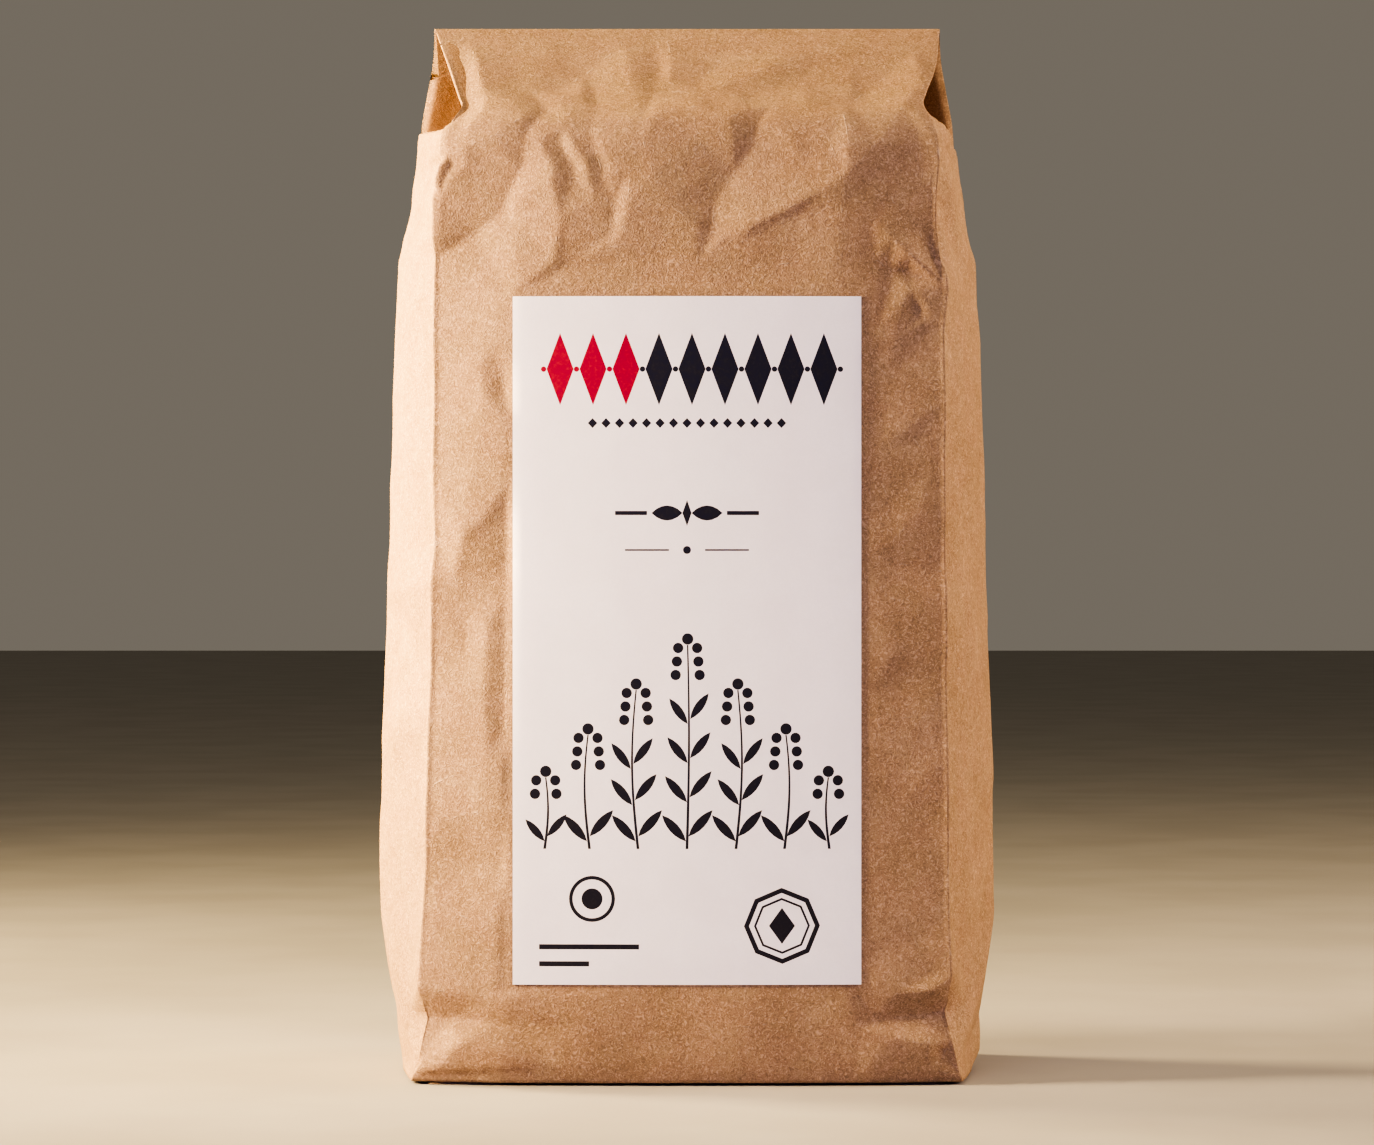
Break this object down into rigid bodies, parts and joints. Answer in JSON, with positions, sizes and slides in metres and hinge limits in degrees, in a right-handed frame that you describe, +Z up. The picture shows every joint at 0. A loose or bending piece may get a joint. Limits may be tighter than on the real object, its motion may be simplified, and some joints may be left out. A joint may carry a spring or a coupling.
{
  "type": "paper bag of wheat berries",
  "caption": "Full, shut kraft paper bag standing on a block bottom, with side gussets, a top folded over to the back and a white paper label.",
  "frame": {"origin": "middle of the flat base, where the bag stands", "axes": "+Z up from the base to the top fold, +X to the right across the front, the labelled front faces -Y"},
  "size_m": [0.126, 0.0688, 0.216],
  "materials": {
    "kraft_paper": "matte unbleached kraft paper with fine fibres",
    "label_paper": "smooth white label paper, printed in black and red"
  },
  "bodies": {
    "root": {"bag": "kraft_paper", "label": "label_paper"}
  },
  "joints": []
}
